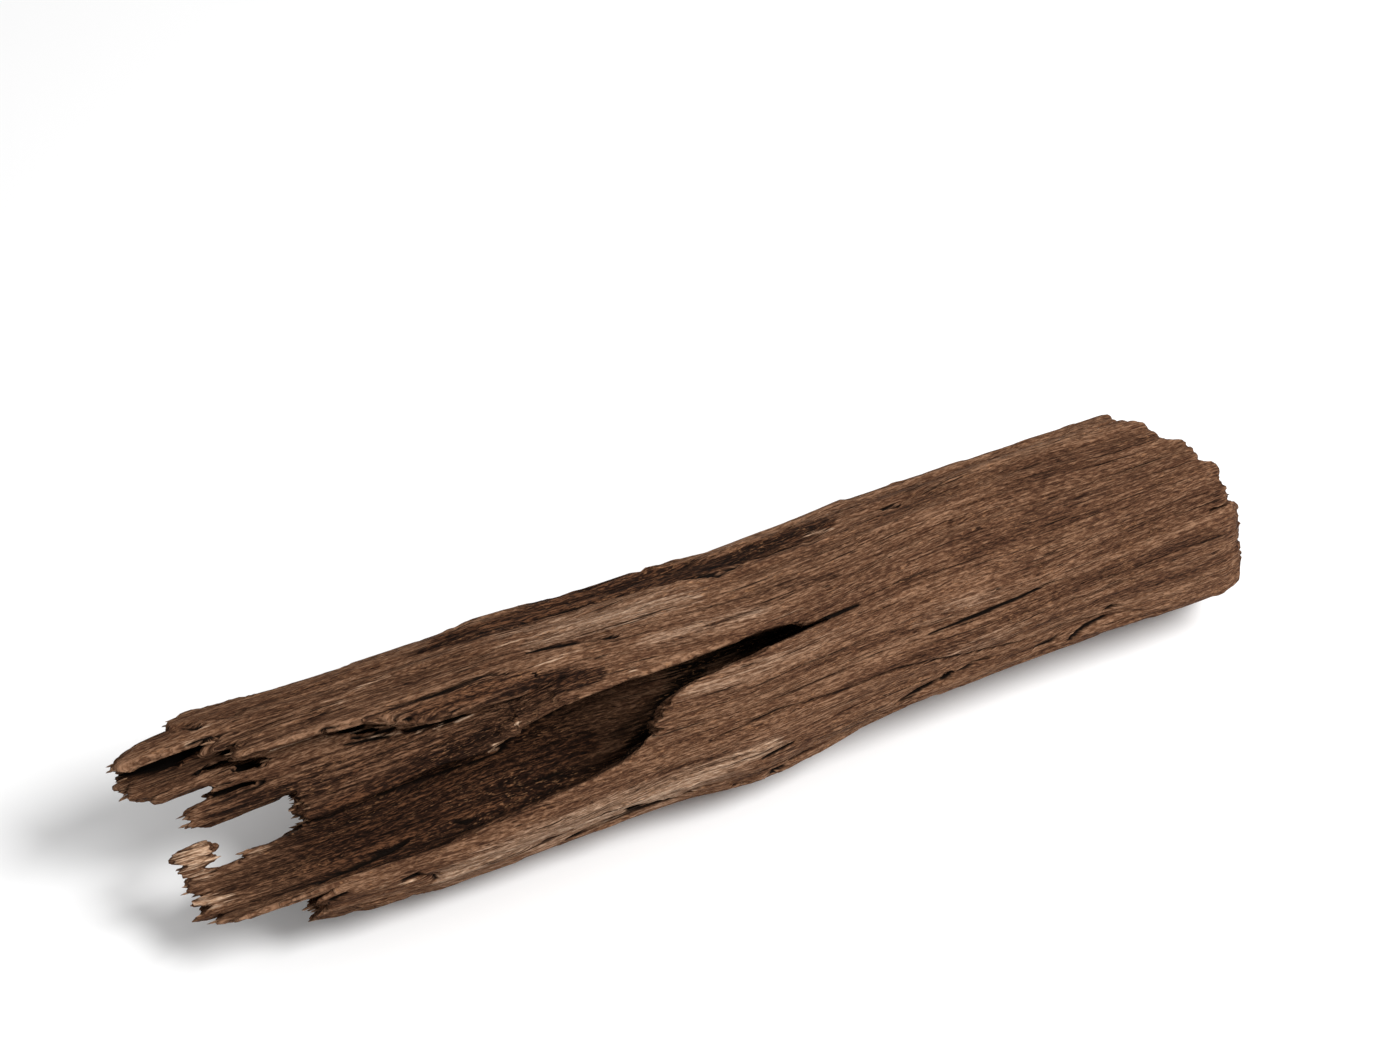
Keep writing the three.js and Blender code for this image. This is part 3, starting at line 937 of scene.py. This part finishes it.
@dataclass
class Driftwood:
    """The branch itself. Sizes are in millimetres."""

    axes: WoodAxes
    markings: Markings
    relief: Relief
    cell: float = 0.58
    stretch: float = 3.6
    weld_gap: float = 0.0005
    smoothing: int = 24
    pull_in: float = 0.5
    push_out: float = -0.52
    most_triangles: int = 196_000
    back_edge: Line = ((-232, 43), (-85, 43), (20, 37.5), (80, 39), (220, 37))
    front_edge: Line = ((-232, -44), (-130, -47), (5, -49), (75, -42), (220, -41.5))
    crown: Line = ((-232, 13), (-130, 24), (-30, 34), (140, 35), (220, 33))
    underside: Line = ((-232, -15), (-140, -28), (-40, -38), (220, -37))
    typical_half: float = 40.0
    depth_share: float = 0.3
    inner_depth: float = 0.7
    shell_change: Point = (0.58, 0.94)
    grain_waves: tuple[tuple[float, ...], ...] = ((1.4, 41, 19, 0.0), (0.8, 23, -11, 1.3))
    pith: Point = (5, -4)
    ring_lobes: tuple[Triple, ...] = ((0.05, 3, 0.6), (0.025, 7, 0.0))
    ring_lean: float = 0.03
    hollow_middle: Line = ((-150, -18), (-100, -16), (-50, -11), (0, -3), (40, 0), (80, 1))
    hollow_half: Line = ((-150, 17), (-100, 19), (-50, 22), (0, 17), (40, 10), (80, 5))
    hollow_side_change: Point = (1.15, 0.85)
    hollow_depth_change: Point = (4, 14)
    hollow_floor_change: Point = (-28, -20)
    # Where the painted shade of the hollow's open trough begins and is complete, on its right and on its
    # left.
    trough_shade_change_right: Point = (-10, -75)
    trough_shade_change_left: Point = (-215, -150)
    shown_change: Point = (-0.12, 0.06)
    square_on: float = 0.6
    narrowest: float = 0.15
    torn_facing_change: Point = (0.3, 0.8)
    torn_reach_change: Point = (-90, -130)
    pale_wear: float = 0.9
    pale_fibres: float = 0.12
    ring_facing_change: Point = (0.45, 0.8)
    ring_reach_change: Point = (150, 190)
    edge_gain: float = 1.2
    edge_spread: int = 2

    def build(self, node: bpy.types.Object, material: bpy.types.Material) -> bpy.types.Object:
        """Builds the branch.

        Args:
            node: the CAD node that it stands for, which is copied and left alone.
            material: its finish.

        Returns:
            The piece, still in wood millimetres.
        """
        shape = self.fine_copy(node)
        self.describe(shape.data)
        values = {"Material": material} | dict(self.relief.heights)
        piece = run_tree(shape, self.relief.tree(), values, NODE + "_looks")
        self.thin(piece)
        self.wear_and_crease_shade(piece.data)
        bpy.data.objects.remove(shape)
        return piece

    def place(self, piece: bpy.types.Object) -> None:
        """Moves the branch from its own axes into the scene, and keeps its worn flat on the ground.

        Args:
            piece: the branch, in wood millimetres.
        """
        piece.data.transform(self.axes.to_scene())
        points = read_rows(piece.data.vertices, "co")
        points[:, 2] = np.maximum(points[:, 2], 0)
        piece.data.vertices.foreach_set("co", points.ravel())
        piece.data.shade_smooth()
        piece.data.update()
        LOG.info("%s: %d faces", piece.name, len(piece.data.polygons))

    def fine_copy(self, node: bpy.types.Object) -> bpy.types.Object:
        """Copies the CAD shape into an even, fine mesh whose cells are long along the grain.

        Args:
            node: the CAD node.

        Returns:
            The copy, in wood millimetres.
        """
        mesh = node.data.copy()
        mesh.transform(Matrix.Scale(1 / self.stretch, 4, (1, 0, 0)) @ self.axes.to_wood())
        copy = add_object("fine_copy", mesh)
        weld = copy.modifiers.new("weld", "WELD")
        weld.merge_threshold = self.weld_gap
        remesh = copy.modifiers.new("remesh", "REMESH")
        remesh.mode = "VOXEL"
        remesh.voxel_size = self.cell
        fine = evaluated_mesh(copy)
        copy.modifiers.clear()
        copy.data = fine
        fine.transform(Matrix.Scale(self.stretch, 4, (1, 0, 0)))
        self.smooth(fine)
        return copy

    def smooth(self, mesh: bpy.types.Mesh) -> None:
        """Rounds off the flat facets of the CAD shape without shrinking it.

        Args:
            mesh: the fine copy's mesh, which is changed.
        """
        points = read_rows(mesh.vertices, "co")
        here, there = read_pairs(mesh)
        pull = 1 / np.sum((points[here] - points[there]) ** 2, axis=1)
        total = np.bincount(here, weights=pull, minlength=len(points))
        for turn in range(self.smoothing):
            sums = [np.bincount(here, weights=pull * c[there], minlength=len(points)) for c in points.T]
            mean = np.stack(sums, axis=1) / total[:, None]
            points += (self.pull_in if turn % 2 == 0 else self.push_out) * (mean - points)
        mesh.vertices.foreach_set("co", points.ravel())
        mesh.update()

    def thin(self, piece: bpy.types.Object) -> None:
        """Takes out the points that matter least, until the piece is light enough.

        Args:
            piece: the carved branch, whose mesh is replaced.
        """
        piece.data.calc_loop_triangles()
        modifier = piece.modifiers.new("thin", "DECIMATE")
        modifier.ratio = min(1.0, self.most_triangles / len(piece.data.loop_triangles))
        modifier.use_collapse_triangulate = True
        thinned = evaluated_mesh(piece)
        piece.modifiers.clear()
        piece.data = thinned

    def wear_and_crease_shade(self, mesh: bpy.types.Mesh) -> None:
        """Stores how far each point stands out of the wood around it, from 0 in a crease to 1 on an edge.
        The colour makes edges paler as wear and gives creases painted shade.

        Args:
            mesh: the thinned mesh of the branch.
        """
        points = read_rows(mesh.vertices, "co")
        here, there = read_pairs(mesh)
        gap = points[there] - points[here]
        normals = read_rows(mesh.vertex_normals, "vector")
        bend = np.sum(gap * normals[here], axis=1) / np.sum(gap**2, axis=1)
        count = np.bincount(here, minlength=len(points))
        mean = np.bincount(here, weights=bend, minlength=len(points)) / count
        for _ in range(self.edge_spread):
            mean = (mean + np.bincount(here, weights=mean[there], minlength=len(points)) / count) / 2
        store(mesh, Mask.EDGE, 0.5 - 0.5 * np.tanh(mean * self.edge_gain))

    def describe(self, mesh: bpy.types.Mesh) -> None:
        """Stores at each point where it lies in the grain, and which marks and stains it has.

        Args:
            mesh: the fine copy's mesh, in wood millimetres.
        """
        points = read_rows(mesh.vertices, "co")
        normals = read_rows(mesh.vertex_normals, "vector")
        x = points[:, 0]
        marks = self.markings
        seen = marks.seen(points)
        facing = marks.facing(points, normals)
        shown = smooth_step(*self.shown_change, facing)
        full = np.ones(len(points))
        narrow = np.clip(facing / self.square_on, self.narrowest, 1)
        pale = shown * marks.mask(marks.pales, seen, narrow)
        hollow = self.hollow(points)
        # Painted shade in the hollow, strongest in its open trough and fading towards both ends.
        trough_shade = smooth_step(*self.trough_shade_change_right, x) * smooth_step(*self.trough_shade_change_left, x)
        end_grain = smooth_step(*self.ring_facing_change, normals[:, 0])
        store(mesh, Mask.GRAIN, self.grain(points))
        store(mesh, Mask.HOLLOW, hollow * trough_shade)
        # Painted shade in the mouth of the hollow.
        store(mesh, Mask.SHADE, hollow * marks.mask(marks.shades, seen, full))
        store(mesh, Mask.PALE, pale)
        # Where the slits lie: they are carved, and coloured with painted shade.
        store(mesh, Mask.SLIT, shown * marks.mask(marks.slits, seen, narrow))
        # The dark streaks are partly darker wood and partly painted shade.
        for name, streaks in ((Mask.DARK, marks.darks), (Mask.GREY, marks.greys), (Mask.LIFT, marks.lifts)):
            store(mesh, name, shown * marks.mask(streaks, seen, full))
        store(mesh, Mask.TORN, self.torn(points, normals, pale))
        store(mesh, Mask.RINGS, end_grain * smooth_step(*self.ring_reach_change, x))
        store(mesh, Mask.PITH, self.ring_radius(points))

    def ring_radius(self, points: np.ndarray) -> np.ndarray:
        """Tells how far points lie from the middle of the growth rings, which wander a little.

        Args:
            points: points in wood millimetres.

        Returns:
            The distance of each point, in millimetres.
        """
        x, m, n = points.T
        across, out = m - self.pith[0], n - self.pith[1]
        turn = np.arctan2(out, across)
        lobes = sum(height * np.sin(count * turn + start) for height, count, start in self.ring_lobes)
        return np.hypot(across, out) * (1 + lobes) + self.ring_lean * x

    def grain(self, points: np.ndarray) -> np.ndarray:
        """Lays coordinates that follow the grain.

        On the outside of the branch they run round it, with their seam on the underside. On the broken wood
        inside they run straight across.

        Args:
            points: points in wood millimetres.

        Returns:
            For each point, how far it lies along the grain, round or across it, and in depth.
        """
        x, m, n = points.T
        back, front = follow(self.back_edge, x), follow(self.front_edge, x)
        top, bottom = follow(self.crown, x), follow(self.underside, x)
        across = (2 * m - back - front) / (back - front)
        out = (2 * n - top - bottom) / (top - bottom)
        radius = np.hypot(across, out)
        shell = smooth_step(*self.shell_change, radius)
        round_it = np.arctan2(across, out) * shell + across * (1 - shell)
        depth = radius * shell + (1 + self.inner_depth * out) * (1 - shell)
        waves = [high * np.sin(x / long + m / wide + start) for high, long, wide, start in self.grain_waves]
        round_it = round_it * self.typical_half + sum(waves)
        return np.stack((x, round_it, depth * self.typical_half * self.depth_share), axis=1)

    def hollow(self, points: np.ndarray) -> np.ndarray:
        """Tells which points lie inside the hollow.

        Args:
            points: points in wood millimetres.

        Returns:
            0 on the outside of the branch, 1 deep in the hollow.
        """
        x, m, n = points.T
        aside = np.abs(m - follow(self.hollow_middle, x)) / follow(self.hollow_half, x)
        below = follow(self.crown, x) - n
        inside = smooth_step(*self.hollow_side_change, aside) * smooth_step(*self.hollow_depth_change, below)
        return inside * smooth_step(*self.hollow_floor_change, n)

    def torn(self, points: np.ndarray, normals: np.ndarray, pale: np.ndarray) -> np.ndarray:
        """Tells where loose fibres stand out.

        Args:
            points: points in wood millimetres.
            normals: the outward direction at each point.
            pale: how pale each point is.

        Returns:
            0 on sound wood, 1 on the broken ends of the splintered side, less where they are worn pale.
        """
        facing = smooth_step(*self.torn_facing_change, -normals[:, 0])
        ends = facing * smooth_step(*self.torn_reach_change, points[:, 0])
        return np.maximum(ends * (1 - self.pale_wear * pale), self.pale_fibres * pale)


@dataclass
class Splinters:
    """Loose fibres that stand out of the torn wood, in millimetres. A fibre is drawn a unit long."""

    axes: WoodAxes
    density: float = 0.022
    shortest: Triple = (1.2, 0.22, 0.16)
    longest: Triple = (3.2, 0.55, 0.4)
    buried: float = 0.4
    sunk: float = -0.6
    bend: float = 2.6
    bend_power: float = 2.0
    taper: float = -0.92
    taper_power: float = 1.6
    rings: int = 6
    sides: int = 5
    tilt: Triple = (0.5, 0.16, 0.10)
    seed: int = 7
    tilt_seed: int = 3
    size_seed: int = 5

    def build(self, wood: bpy.types.Object, material: bpy.types.Material) -> bpy.types.Object:
        """Builds the splinters.

        Args:
            wood: the branch, in wood millimetres, with its marks.
            material: their finish.

        Returns:
            The finished piece.
        """
        values = {"Material": material, "Density": self.density, "Seed": self.seed}
        piece = run_tree(wood, self.tree(), values, "splinters")
        piece.data.transform(self.axes.to_scene())
        piece.data.shade_smooth()
        LOG.info("%s: %d faces", piece.name, len(piece.data.polygons))
        return piece

    def fibre(self, nodes: Nodes) -> Socket:
        """Draws one fibre: a needle along the grain that bends up towards its tip.

        Args:
            nodes: the tree's nodes.

        Returns:
            The fibre's mesh.
        """
        ends = {"Start": (self.buried, 0, 0), "End": (self.buried - 1, 0, 0)}
        line = nodes.add("GeometryNodeCurvePrimitiveLine", ends).outputs[0]
        line = nodes.add("GeometryNodeResampleCurve", {"Curve": line, "Count": self.rings}).outputs[0]
        course = nodes.add("GeometryNodeSplineParameter").outputs["Factor"]
        rise = nodes.math("MULTIPLY_ADD", nodes.math("POWER", course, self.bend_power), self.bend, self.sunk)
        lifted = nodes.add("ShaderNodeCombineXYZ", {"Z": rise}).outputs[0]
        line = nodes.add("GeometryNodeSetPosition", {"Geometry": line, "Offset": lifted}).outputs[0]
        thick = nodes.math("MULTIPLY_ADD", nodes.math("POWER", course, self.taper_power), self.taper, 1.0)
        line = nodes.add("GeometryNodeSetCurveRadius", {"Curve": line, "Radius": thick}).outputs[0]
        inputs = {"Resolution": self.sides, "Radius": 1.0}
        section = nodes.add("GeometryNodeCurvePrimitiveCircle", inputs).outputs[0]
        inputs = {"Curve": line, "Profile Curve": section, "Fill Caps": True}
        return nodes.add("GeometryNodeCurveToMesh", inputs).outputs[0]

    def between(self, nodes: Nodes, low: Triple, high: Triple, seed: int) -> Socket:
        """Returns a random vector between two vectors for each fibre."""
        inputs = {0: low, 1: high, "Seed": seed}
        return nodes.add("FunctionNodeRandomValue", inputs, data_type="FLOAT_VECTOR").outputs[0]

    def tree(self) -> bpy.types.NodeTree:
        """Builds the Geometry Nodes tree that sets fibres into the torn wood.

        Returns:
            The tree. Its inputs are the branch, the fibres' material, how many there are on a square
            millimetre of torn wood, and the seed.
        """
        shape = {"Geometry": "NodeSocketGeometry"}
        inputs = {"Material": "NodeSocketMaterial", "Density": "NodeSocketFloat", "Seed": "NodeSocketInt"}
        nodes, start, end = new_group("splinters", "GeometryNodeTree", shape | inputs, shape)
        given = start.outputs
        thickly = nodes.math("MULTIPLY", stored(nodes, Mask.TORN), given["Density"])
        inputs = {"Mesh": given["Geometry"], "Density": thickly, "Seed": given["Seed"]}
        points = nodes.add("GeometryNodeDistributePointsOnFaces", inputs, distribute_method="RANDOM").outputs
        inputs = {"Vector": points["Normal"]}
        upright = nodes.add("FunctionNodeAlignRotationToVector", inputs, axis="Z", pivot_axis="X").outputs[0]
        sway = self.between(nodes, tuple(-angle for angle in self.tilt), self.tilt, self.tilt_seed)
        sway = nodes.add("FunctionNodeEulerToRotation", {0: sway}).outputs[0]
        inputs = {0: upright, 1: sway}
        turned = nodes.add("FunctionNodeRotateRotation", inputs, rotation_space="LOCAL").outputs[0]
        size = self.between(nodes, self.shortest, self.longest, self.size_seed)
        fibre = self.fibre(nodes)
        inputs = {"Points": points["Points"], "Instance": fibre, "Rotation": turned, "Scale": size}
        fibres = nodes.add("GeometryNodeInstanceOnPoints", inputs).outputs[0]
        real = nodes.add("GeometryNodeRealizeInstances", {"Geometry": fibres}).outputs[0]
        place = nodes.add("GeometryNodeInputPosition").outputs[0]
        inputs = {"Geometry": real, "Name": Mask.GRAIN.value, "Value": place}
        kept = nodes.add("GeometryNodeStoreNamedAttribute", inputs, data_type="FLOAT_VECTOR").outputs[0]
        dressed = nodes.add("GeometryNodeSetMaterial", {"Geometry": kept, "Material": given["Material"]})
        nodes.tree.links.new(dressed.outputs[0], end.inputs["Geometry"])
        return nodes.tree


@dataclass
class Studio:
    """The floor, the light and the camera. Lengths are in metres."""

    axes: WoodAxes
    floor_half: float = 6.0
    floor_drop: float = 0.0002
    floor_tone: float = 0.9
    floor_roughness: float = 0.9
    azimuth: float = math.radians(-24.196)
    elevation: float = math.radians(52.0)
    distance: float = 1.3
    lens: float = 87.02
    sensor: float = 36.0
    image_size: Point = (1400, 1050)
    heart_row: float = 663.4
    key_direction: Triple = (0.42, -0.40, 0.81)
    key_distance: float = 1.6
    key_size: float = 0.7
    key_power: float = 26.0
    sky: float = 0.62

    def build(self) -> None:
        """Builds the floor, the lights and the camera."""
        self.build_floor()
        self.build_light()
        self.build_camera()

    def build_floor(self) -> None:
        """Builds a plain, pale floor."""
        half, level = self.floor_half, -self.floor_drop
        corners = [(-half, -half, level), (half, -half, level), (half, half, level), (-half, half, level)]
        mesh = bpy.data.meshes.new("floor")
        mesh.from_pydata(corners, [], [(0, 1, 2, 3)])
        material = bpy.data.materials.new("pale_floor")
        material.use_nodes = True
        shader = material.node_tree.nodes["Principled BSDF"]
        shader.inputs["Base Color"].default_value = (self.floor_tone, self.floor_tone, self.floor_tone, 1)
        shader.inputs["Roughness"].default_value = self.floor_roughness
        mesh.materials.append(material)
        floor = add_object("floor", mesh)

    def build_light(self) -> None:
        """Builds an even white surround and one soft light from the upper right."""
        scene = bpy.context.scene
        scene.view_settings.view_transform = "Standard"
        world = bpy.data.worlds.new("studio")
        world.use_nodes = True
        background = world.node_tree.nodes["Background"]
        background.inputs["Color"].default_value = (1, 1, 1, 1)
        background.inputs["Strength"].default_value = self.sky
        scene.world = world
        lamp = bpy.data.lights.new("key", "AREA")
        lamp.shape = "DISK"
        lamp.size = self.key_size
        lamp.energy = self.key_power
        light = bpy.data.objects.new("key", lamp)
        towards = Vector(self.key_direction).normalized()
        light.location = Vector(self.axes.heart) + towards * self.key_distance
        light.rotation_euler = towards.to_track_quat("Z", "Y").to_euler()
        scene.collection.objects.link(light)

    def build_camera(self) -> None:
        """Builds the camera at the photograph's angle, with the heart of the wood below the middle."""
        back = Vector((math.sin(self.azimuth), -math.cos(self.azimuth), 0)) * math.cos(self.elevation)
        back.z = math.sin(self.elevation)
        width, height = self.image_size
        pixels = self.lens / self.sensor * width
        tilt = math.atan((self.heart_row - height / 2) / pixels)
        lens = bpy.data.cameras.new("camera")
        lens.lens = self.lens
        lens.sensor_width = self.sensor
        camera = bpy.data.objects.new("camera", lens)
        camera.location = Vector(self.axes.heart) + back * self.distance
        camera.rotation_euler = (math.pi / 2 - self.elevation + tilt, 0, self.azimuth)
        bpy.context.scene.collection.objects.link(camera)
        bpy.context.scene.camera = camera


def main() -> None:
    """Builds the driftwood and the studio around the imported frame."""
    logging.basicConfig(level=logging.INFO, format="%(name)s: %(message)s")
    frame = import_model()
    axes = WoodAxes()
    grain = WoodGrain().group()
    branch = Driftwood(axes, Markings(), Relief())
    wood = branch.build(frame["nodes"][NODE], WeatheredWood().material(grain))
    splinters = Splinters(axes).build(wood, TornFibre().material(grain))
    branch.place(wood)
    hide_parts(NODE)
    for piece in (wood, splinters):
        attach(piece, BODY)
    Studio(axes).build()


if __name__ == "__main__":
    main()
